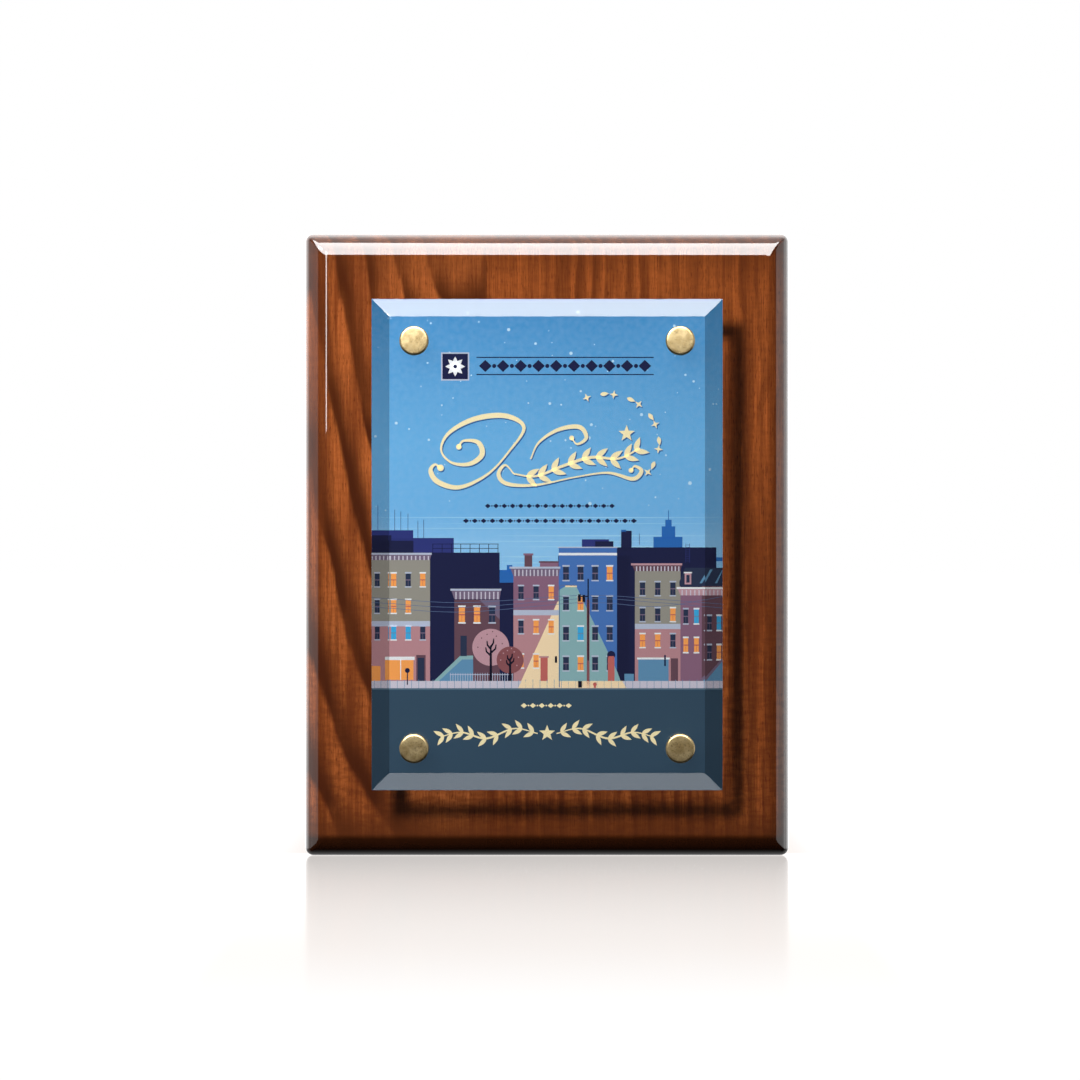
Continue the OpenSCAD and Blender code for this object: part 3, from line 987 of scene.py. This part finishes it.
houses += front(48.3, 56.0, -16.2, "plum", ["dc", "oo"], -26.0, 10.4, w=1.7, h=5.0)
houses += front(56.0, 63.5, -14.0, "brown", ["dc", "do"], -28.4, 10.6, w=1.7, h=5.0)
houses += cornice(48.3, 63.3, -15.6, 2.8, top="white", under="rose", teeth=10)
houses += [("dark", 5, patch([47.9, -13.4], [50.0, -8.4], [63.5, -8.4], [63.5, -15.0], [47.9, -15.0]))]
houses += [("slate", 6, patch([x, -14.0], [x + 3.0, -9.0], [x + 3.9, -9.0], [x + 0.9, -14.0]))
           for x in (55.2, 60.0)]
houses += [("rose", 7, block(49.8, -14.4, 52.2, -10.4)), ("white", 8, block(49.5, -10.4, 52.5, -9.9)),
           ("dark", 8, block(50.4, -13.8, 51.6, -11.0))]

street = [
    ("slate", 7, block(33.0, KERB_TOP, 44.0, -41.6)), ("white", 7, block(32.6, -41.6, 44.4, -40.9)),
    ("lit", 7, block(-57.8, -49.0, -48.4, -41.6)),
    *blocks("white", 8, (-57.8, -41.8, -48.0, -40.6), (-53.2, -49.0, -52.9, -41.6)),
    ("lit", 7, block(-63.5, -51.0, -59.6, -44.0)), ("brown", 7, block(-47.4, KERB_TOP, -44.0, -40.0)),
    ("dark", 8, block(-46.9, KERB_TOP, -44.5, -41.0)), ("door", 7, block(22.0, KERB_TOP, 24.4, -40.6)),
    ("navy", 7, disc(23.2, -40.0, 1.5, 20)), ("door", 8, block(22.3, KERB_TOP, 24.1, -40.4)),
    *blocks("brown", 7, (44.8, KERB_TOP, 47.4, -41.2), (-31.9, -40.4, -28.6, -32.2)),
    ("dark", 8, block(-31.4, -40.4, -29.1, -33.0)),
    ("teal", 7, patch([-41.0, KERB_TOP], [-31.4, -40.2], [-26.8, -40.2], [-26.8, KERB_TOP])),
    ("slate", 8, patch([-39.2, KERB_TOP], [-30.8, -41.6], [-26.8, -41.6], [-26.8, KERB_TOP])),
    ("slate", 7, patch([55.6, KERB_TOP], [63.5, -42.0], [63.5, KERB_TOP])),
    ("mid", 8, patch([55.0, KERB_TOP], [63.5, -40.8], [63.5, -42.0], [56.4, KERB_TOP])),
]
street += [("kerb", 9, block(-63.5, GROUND, 63.5, KERB_TOP))]
railings = np.linspace(-35.0, -12.6, 26)
street += [("pale", 9, block(x - 0.1, KERB_TOP, x + 0.1, KERB_TOP + 2.9)) for x in railings]
street += [("pale", 9, block(-35.2, KERB_TOP + 2.2, -12.4, KERB_TOP + 2.45))]
street += [("slate", 10, block(x - 0.08, GROUND, x + 0.08, KERB_TOP + 0.5)) for x in np.linspace(-62, 62, 49)]
street += [("slate", 9, block(28.0, KERB_TOP, 31.4, KERB_TOP + 2.6))]

cone = [
    ("cream", 5.5, patch([-9.4, KERB_TOP], [3.8, -20.6], [4.2, -20.6], [4.2, KERB_TOP])),
    ("cream", 10, patch([-10.6, GROUND], [-9.2, KERB_TOP], [27.2, KERB_TOP], [28.8, GROUND])),
    ("teal", 5.5, patch([4.2, KERB_TOP], [4.2, -16.6], [7.0, -14.8], [10.4, -14.8], [25.4, -46.0],
                        [26.6, KERB_TOP])),
    ("door", 7, block(-2.4, KERB_TOP, 0.2, -40.6)), ("pink", 8, block(-2.9, -41.0, 0.6, -40.4)),
]
print("marks in the street:", len(far_town) + len(navy_blocks) + len(houses) + len(street) + len(cone))

# %% Draw the trees, lamp, pole and wires
trees = []
for x, z, r, ink in ((-20.4, -37.2, 6.7, "rose"), (-13.4, -41.8, 4.9, "rust")):
    trees.append((ink, 9 + (ink == "rust"), disc(x, z, r, 40)))
    trunk = ribbon([[x, KERB_TOP], [x, z - 0.4 * r], [x, z + 0.1 * r]], [0.95, 0.8, 0.5])
    trees.append(("twig", 11, trunk))
    for side, low, reach in ((-1, -0.45, 0.34), (1, -0.3, 0.36), (-1, -0.1, 0.26), (1, 0.02, 0.2)):
        twig = [[x, z + low * r], [x + side * reach * 0.7 * r, z + (low + 0.22) * r],
                [x + side * reach * 0.8 * r, z + (low + 0.45) * r]]
        trees.append(("twig", 11, ribbon(twig, [0.75, 0.6, 0.4])))
    spots = ((0.3, 0.6), (-0.5, 0.5), (0.62, 0.2), (-0.7, 0.0), (0.1, 0.85), (-0.2, 0.7), (0.5, -0.4))
    spot_ink = "brown" if ink == "rose" else "rose"
    trees += [(spot_ink, 11, disc(x + a * r, z + b * r, 0.24, 8)) for a, b in spots]

lamp_arm = smooth_line([[4.45, -16.0], [4.7, -15.0], [6.2, -14.7], [10.8, -14.75]])
furniture = [("wire", 11, block(4.3, GROUND + 0.3, 4.6, -15.6)),
             ("cream", 11, block(6.6, -15.4, 10.8, -14.8)), ("wire", 11, ribbon(lamp_arm, 0.3))]
furniture += [
    ("twig", 11, block(14.6, -42.0, 15.1, -12.4)), ("rust", 10, block(14.35, GROUND + 0.2, 15.35, -20.0)),
    *blocks("twig", 11, (11.0, -19.0, 15.0, -18.6), (11.2, -20.6, 12.2, -18.0), (12.8, -20.8, 13.8, -18.2),
            (2.8, -42.8, 3.6, -40.4), (11.2, GROUND + 0.2, 12.6, GROUND + 2.6)),
    ("door", 11, disc(17.3, GROUND + 1.4, 0.7, 14)),
    ("door", 11, block(16.9, GROUND + 0.1, 17.7, GROUND + 1.4)),
    ("navy", 11, disc(-50.6, -45.6, 0.9, 14)),
    *blocks("navy", 11, (-50.8, KERB_TOP - 1.4, -50.4, -45.6), (42.4, -44.0, 43.0, -40.0)),
]
for z_left, z_mid, z_right in ((-19.2, -18.4, -21.6), (-20.9, -19.6, -23.0), (-22.6, -21.0, -18.8)):
    wire = smooth_line([[-63.2, z_left], [-30, z_left - 1.8], [13.0, z_mid], [40, z_mid - 1.4],
                        [63.2, z_right]])
    furniture.append(("wire", 10, ribbon(wire, 0.17)))

sky_marks = []
random = np.random.default_rng(7)
for x, z, size in zip(random.uniform(-62, 62, 90), random.uniform(12, 87, 90), random.uniform(0, 1, 90) ** 3):
    if min(math.dist((x, z), post_place(c)) for c in CORNERS) > HOLE_D / 2 + 1.0:
        sky_marks.append(("star", 1, disc(x, z, 0.2 + 0.55 * size, 12)))
haze = ((-63, 63, 9.8, 0.5), (-40, 63, 7.6, 0.28), (-63, 20, 5.9, 0.3), (-20, 63, 3.2, 0.5),
        (-63, 63, 1.2, 0.3), (-14, 60, -0.8, 0.55), (-18, 4, -4.4, 0.7), (-18, 3, -6.6, 0.5))
for x0, x1, z, thick in haze:
    sky_marks.append(("haze", 1, ribbon([[x0, z], [(x0 + x1) / 2, z], [x1, z]], [0.05, thick, 0.05])))
print("marks in the sky:", len(sky_marks))

# %% [markdown]
# ## The ornaments
# Scrolls, sprigs and rules stand where an award carries its lettering, in the same navy, cream and gold.
# Each gold ornament has a dark blue copy just below and behind it, as a printed drop shadow.

# %% Draw the ornaments
def lozenge(x, z, half_w, half_h):
    """Four tips: half a width to each side and half a height up and down."""
    return np.array([[x - half_w, z], [x, z - half_h], [x + half_w, z], [x, z + half_h]])


def chain(ink, x0, x1, z, half_h, pitch, layer=2):
    """A rule made of long lozenges with a dot between each two."""
    count = max(2, round((x1 - x0) / pitch))
    middles = x0 + (np.arange(count) + 0.5) * (x1 - x0) / count
    marks = [(ink, layer, lozenge(x, z, 0.36 * pitch, half_h)) for x in middles]
    return marks + [(ink, layer, disc(x, z, 0.35 * half_h, 10)) for x in (middles[1:] + middles[:-1]) / 2]


def sprig(ink, line, first, last, long, wide, layer=3, spread=38.0):
    """Leaves in pairs along a line, each turned by the spread away from the line's own direction."""
    along = np.gradient(line, axis=0)
    heading = np.degrees(np.arctan2(along[:, 1], along[:, 0]))
    marks = []
    for k in np.linspace(first * len(line), last * len(line) - 1, 9).astype(int):
        for side in (-1, 1):
            marks.append((ink, layer, leaf(*line[k], long, wide, heading[k] + side * spread)))
    return marks


def dropped(marks, shift=(0.35, -0.45)):
    """The marks again in the shadow ink, a step behind and moved by the shift."""
    moved = []
    for ink, layer, shape in marks:
        copy = tuple(s + shift for s in shape) if isinstance(shape, tuple) else shape + np.array(shift)
        moved.append(("shade", layer - 1, copy))
    return moved + marks


badge = [("pale", 2, block(-38.4, 59.4, -28.2, 69.6)), ("navy", 3, block(-37.9, 59.9, -28.7, 69.1))]
badge += [("white", 4, leaf(-33.3, 64.5, 3.6, 1.7, a)) for a in range(0, 360, 45)]
badge += [("navy", 5, disc(-33.3, 64.5, 0.7, 16))]
badge += chain("navy", -25.6, 38.6, 64.7, 2.2, 6.4)
badge += [("navy", 2, block(-25.6, z, 38.6, z + 0.4)) for z in (61.4, 67.6)]

scroll_line = smooth_line([
    [-38.6, 27.6], [-40.6, 29.0], [-42.2, 26.6], [-39.4, 22.6], [-31.6, 20.8], [-21.4, 25.6],
    [-13.6, 34.0], [-8.4, 42.4], [-15.0, 46.6], [-26.0, 45.6], [-35.4, 40.6], [-38.4, 34.4],
    [-34.8, 29.8], [-28.2, 29.2], [-23.6, 32.6], [-25.0, 37.0], [-30.2, 37.6], [-32.2, 35.2]])
stem = smooth_line([[-12.0, 25.6], [-4.0, 24.8], [6.0, 28.6], [16.0, 31.6], [26.0, 31.2], [33.6, 35.0]])
back_curl = smooth_line([[-12.0, 25.6], [-15.2, 28.8], [-17.6, 25.4], [-14.4, 22.0], [-4.0, 21.6],
                         [10.0, 24.4], [22.0, 26.0], [31.0, 23.8], [34.2, 26.6], [31.8, 28.4], [30.4, 26.8]])
over_curl = smooth_line([[-6.0, 31.0], [-3.0, 37.0], [4.0, 41.6], [11.6, 42.6], [14.2, 38.8], [11.0, 36.4],
                         [8.8, 38.6]])
ornament = [
    ("gold", 3, ribbon(scroll_line, pen_width(len(scroll_line), 0.7, 1.9, 3.0))),
    ("gold", 3, ribbon(stem, pen_width(len(stem), 0.6, 1.1))),
    ("gold", 3, ribbon(back_curl, pen_width(len(back_curl), 0.5, 1.5, 2.0))),
    ("gold", 3, ribbon(over_curl, pen_width(len(over_curl), 0.5, 1.6, 1.0))),
    ("gold", 3, star(28.8, 40.2, 3.1)),
]
ends = ((-38.6, 27.8, 1.2), (-32.0, 35.4, 1.0), (30.4, 26.9, 0.9), (8.9, 38.6, 0.9))
ornament += [("gold", 3, disc(*end)) for end in ends]
ornament += sprig("gold", stem, 0.12, 0.96, 5.4, 2.0)
for k, angle in enumerate(np.linspace(112, -38, 11)):
    x, z = 21.5 + 19.0 * math.cos(math.radians(angle)), 37.0 + 17.5 * math.sin(math.radians(angle))
    shape = leaf(x, z, 3.2, 1.5, angle - 90) if k % 2 else star(x, z, 1.6, 4, 0.36, angle)
    ornament.append(("gold", 3, shape))
ornament = dropped(ornament)
rules = chain("navy", -23.0, 25.0, 14.0, 0.85, 3.0) + chain("navy", -31.0, 33.0, 8.6, 0.85, 3.2)

footer = [("road_line", 10, block(-63.5, GROUND - 0.6, 63.5, GROUND))]
footer += chain("gold", -10.0, 9.4, -58.3, 0.9, 3.2, 10)
garland = smooth_line([[3.4, -68.4], [12.0, -66.6], [22.0, -70.2], [31.0, -68.0], [38.6, -69.6]])
for side in (-1, 1):
    line = garland * (side, 1)
    footer.append(("gold", 10, ribbon(line, pen_width(len(line), 0.35, 0.7))))
    footer += sprig("gold", line, 0.06, 0.97, 4.2, 1.5, 11, 40.0)
footer.append(("gold", 11, star(0.0, -68.3, 3.0)))
print("ornament marks:", len(badge) + len(ornament) + len(rules) + len(footer))


# %% Print the layers
def printed_sky():
    """The sky's ink deepens with height: seven colours at set heights from the street up."""
    g = Graph("ink_sky")
    x, y, z = g.split(g.millimetres())
    ramp = g.tree.nodes.new("ShaderNodeValToRGB")
    stops = [(0.0, (139, 198, 240)), (0.1, (137, 197, 240)), (0.22, (109, 180, 232)), (0.47, (103, 176, 228)),
             (0.69, (90, 163, 217)), (0.92, (71, 146, 203)), (1.0, (67, 141, 198))]
    while len(ramp.color_ramp.elements) < len(stops):
        ramp.color_ramp.elements.new(0.5)
    for element, (position, screen) in zip(ramp.color_ramp.elements, stops):
        element.position, element.color = position, rgb(*screen)
    g.tree.links.new(g.remap(z, -10.0, 88.0, smooth=False), ramp.inputs[0])
    grain = g.noise(g.millimetres(), 0.5, 4.0)
    g.colour(g.mix(g.remap(grain, 0.2, 0.8, 0.0, 0.05), ramp.outputs[0], rgb(255, 255, 255)))
    g.set(Roughness=0.55, Specular_IOR_Level=0.0)
    return g.material


def film_slab(name, front, back, low_z, high_z, material):
    """A plain sheet with the post holes that fall on it cut through."""
    x0, x1 = film_low[0], film_high[0]
    rings = [[[x0, y, low_z], [x1, y, low_z], [x1, y, high_z], [x0, y, high_z]] for y in (front, back)]
    sheet = capped_grid(name, np.array(rings))
    holes = [post_place(c) for c in CORNERS]
    holes = [(x, z) for x, z in holes if low_z < z < high_z]
    carve(sheet, [rod(x, z, front - 1, back + 1, HOLE_D) for x, z in holes])
    sheet.visible_shadow = False
    return place(sheet, BODY, "picture", material, "picture_film")


FILM_MIDDLE = SKY_FRONT + INK_THICK
film_slab("picture_sky", SKY_FRONT, FILM_MIDDLE, film_low[2], film_high[2], printed_sky())
film_slab("picture_backing", FILM_MIDDLE, film_high[1] - 0.02, film_low[2], film_high[2], PAINTS["back"])
print_layer("picture_stars", sky_marks)
print_layer("picture_far_town", far_town + navy_blocks)
print_layer("picture_houses", houses)
print_layer("picture_lamplight", cone)
print_layer("picture_street", street + trees + furniture)
print_layer("picture_ornament", badge + ornament + rules)

# %% [markdown]
# The road band runs under the two lower caps, so it needs the same holes as the film. Its slab is cut first
# and the marks on it are printed over it. A dark border at the film's back edge is the only part that stops
# the key light, so the wood gets a thin shadow line and not a solid dark block.

# %% Print the road and the border
road_front = SKY_FRONT - 9 * INK_STEP
film_slab("picture_road", road_front, road_front + INK_THICK, film_low[2], GROUND, PAINTS["road"])
print_layer("picture_footer", footer)
BORDER_W = 5.6


def border_piece():
    """A flat frame: four rings of four corners, closed into a loop."""
    back, front = film_high[1], film_high[1] - 0.02
    w, h = film_high[0] - film_low[0], film_high[2] - film_low[2]
    rings = [(0, front), (0, back), (BORDER_W, back), (BORDER_W, front)]
    grid = np.stack([rectangle_ring(i, y, w, h) for i, y in rings])
    return piece_from("picture_border", grid.reshape(-1, 3), grid_quads(4, 4, wrap_rows=True), 30.0)


place(border_piece(), BODY, "picture", PAINTS["back"], "picture_film")

# %% [markdown]
# ## The studio
# The plaque stands on a white floor in white surroundings. A small key lamp high on the left lights the
# wood and casts the film's shadow on it. The other panels are there for their reflections: one overhead
# draws the bright line along the top moulding, one gives the caps their sheen, and the rest light the
# moulding's sides and the plate's bevels. Light linking keeps each panel to the pieces that it is meant
# for.

# %% Floor and surroundings
FLOOR_GLOW = 1.04
MIRROR_SHARE = 0.41
MIRROR_REACH = 500.0
WHITE, WARM_WHITE = (1.0, 1.0, 1.0, 1.0), (0.95, 0.9, 0.87, 1.0)
DIM, BEHIND, OVERHEAD = 0.06, 2.7, 2.2


def floor_finish():
    """A soft glow that gives way to a blurred mirror near the plaque's foot, with a painted warm reflection
    under it.
    """
    g = Graph("studio_white")
    x, y, z = g.split(g.millimetres())
    near = g.remap(y, board_low[1] - MIRROR_REACH, board_low[1], smooth=False)
    in_front = g.remap(y, board_low[1], board_high[1], MIRROR_SHARE, 0.0, smooth=False)
    fade = g.math("MULTIPLY", g.math("MULTIPLY", near, near), in_front)
    under_board = g.remap(g.math("ABSOLUTE", x), board_w / 2, board_w / 2 + 14.0, 1.0, 0.0)
    # Painted reflection: the glow turns warm in a band in front of and under the board, like the wood's
    # colour.
    warm = g.math("MULTIPLY", g.remap(y, board_low[1] - 520.0, board_low[1] - 290.0), under_board)
    glow = g.add("ShaderNodeEmission", {"Strength": FLOOR_GLOW, "Color": g.mix(warm, WHITE, WARM_WHITE)})
    mirror = g.add("ShaderNodeBsdfGlossy", {"Roughness": 0.12})
    blend = g.add("ShaderNodeMixShader", {0: fade, 1: glow, 2: mirror})
    g.feed(g.tree.nodes["Material Output"].inputs["Surface"], blend)
    g.material.cycles.emission_sampling = "NONE"
    return g.material


def studio_floor():
    """A big white sheet under the plaque, which lights nothing."""
    mesh = bpy.data.meshes.new("studio_floor")
    z, wide, near, far = board_low[2] * MM, 6.0, -3.0, 12.0
    mesh.from_pydata([(-wide, near, z), (wide, near, z), (wide, far, z), (-wide, far, z)], [], [(0, 1, 2, 3)])
    mesh.materials.append(floor_finish())
    floor = stand("studio_floor", mesh)
    floor.visible_glossy = floor.visible_diffuse = floor.visible_transmission = False
    return floor


def surroundings():
    """White where the camera looks and behind the plaque, and dim in front of it and below the floor."""
    scene.world = bpy.data.worlds.new("studio")
    g = Graph("studio", scene.world)
    x, y, z = g.split(g.tree.nodes.new("ShaderNodeTexCoord").outputs["Generated"])
    path = g.tree.nodes.new("ShaderNodeLightPath").outputs
    scattered = g.remap(y, 0.3, 0.9, DIM, 0.9, smooth=False)
    mirrored = g.remap(y, 0.02, 0.6, DIM, BEHIND, smooth=False)
    mirrored = g.math("ADD", mirrored, g.remap(z, 0.55, 0.85, 0.0, OVERHEAD, smooth=False))
    seen = g.add("ShaderNodeMix", {0: path["Is Glossy Ray"], 2: scattered, 3: mirrored})
    seen = g.math("MULTIPLY", seen, g.remap(z, -0.3, -0.05, 0.15, 1.0, smooth=False))
    seen = g.math("MAXIMUM", seen, path["Is Camera Ray"])
    background = g.tree.nodes["Background"]
    g.feed(background.inputs["Strength"], seen)
    g.feed(background.inputs["Color"], WHITE)


studio_floor()
surroundings()
scene.view_settings.view_transform = "Standard"
print("studio ready")


# %% Lamps and camera
CAMERA_LENS, CAMERA_SENSOR = 131.3, 36.0
CAMERA_PLACE = (-0.00258, -1.46065, 0.00166)


def panel(name, towards, distance, size, radiance, roll=0.0, lights=True, mirrored=True):
    """An area lamp that faces the plaque; its power is radiance times pi times its area."""
    lamp = bpy.data.lights.new(name, "AREA")
    lamp.shape, lamp.size, lamp.size_y = "RECTANGLE", *size
    lamp.energy = radiance * math.pi * size[0] * size[1]
    way = Vector(towards).normalized()
    holder = stand(name, lamp)
    holder.location = way * distance
    aim = (-way).to_track_quat("-Z", "Y")
    holder.rotation_euler = aim.to_euler()
    holder.rotation_euler.rotate_axis("Z", math.radians(roll))
    holder.visible_camera = holder.visible_transmission = False
    holder.visible_diffuse, holder.visible_glossy = lights, mirrored
    return holder


def only(name, lamp_objects, listed, role, state="INCLUDE"):
    """Link lamps to the listed objects: as what they light, or as what stops their light."""
    group = bpy.data.collections.new(name)
    for item in listed:
        group.objects.link(item)
        group.collection_objects[-1].light_linking.link_state = state
    for lamp_object in lamp_objects:
        setattr(lamp_object.light_linking, role, group)


key_lamp = panel("key_lamp", (-0.60, -1.0, 0.71), 0.85, (0.17, 0.17), 77.0)
panel("soft_fill", (-0.35, -1.0, 0.5), 1.4, (1.2, 1.2), 0.8, mirrored=False)
top_panel = panel("top_panel", (-0.1, -0.70, 0.61), 1.2, (1.7, 1.3), 18.0, -4.0, lights=False)
cap_panel = panel("cap_panel", (-0.1, -0.66, 0.76), 1.2, (1.7, 1.5), 18.0, -4.0, lights=False)
high_panel = panel("high_panel", (0.0, -0.62, 0.79), 1.2, (1.8, 0.9), 13.5, lights=False)
corner_strip = panel("corner_strip", (-0.28, -1.46, 0.36), 1.5, (0.1, 0.55), 15.0, lights=False)
right_panel = panel("right_panel", (1.0, -0.15, 0.1), 1.2, (1.4, 1.4), 1.5, lights=False)
left_panel = panel("left_panel", (-1.0, -0.3, 0.0), 1.2, (1.0, 1.2), 1.2, lights=False)
low_panel = panel("low_panel", (0.0, -0.6, -0.8), 1.0, (1.2, 0.5), 3.4, lights=False)
staves = [bpy.data.objects["lacquered_stave_" + side] for side in ("left", "right")]
caps = [bpy.data.objects["turned_cap_" + corner] for corner in CORNERS]
only("stops_the_key_lamp", [key_lamp], [bpy.data.objects["picture_border"], *staves], "blocker_collection")
only("only_the_plate", [low_panel, high_panel], [plate], "receiver_collection")
only("not_the_plate", [corner_strip, right_panel, left_panel], [plate], "receiver_collection", "EXCLUDE")
only("only_the_board", [top_panel], staves, "receiver_collection")
only("only_the_caps", [cap_panel], caps, "receiver_collection")

lens = bpy.data.cameras.new("studio_camera")
lens.lens, lens.sensor_width = CAMERA_LENS, CAMERA_SENSOR
camera = stand("studio_camera", lens)
camera.location = CAMERA_PLACE
camera.rotation_euler = (math.radians(90), 0.0, 0.0)
scene.camera = camera
print("lamps and camera placed")
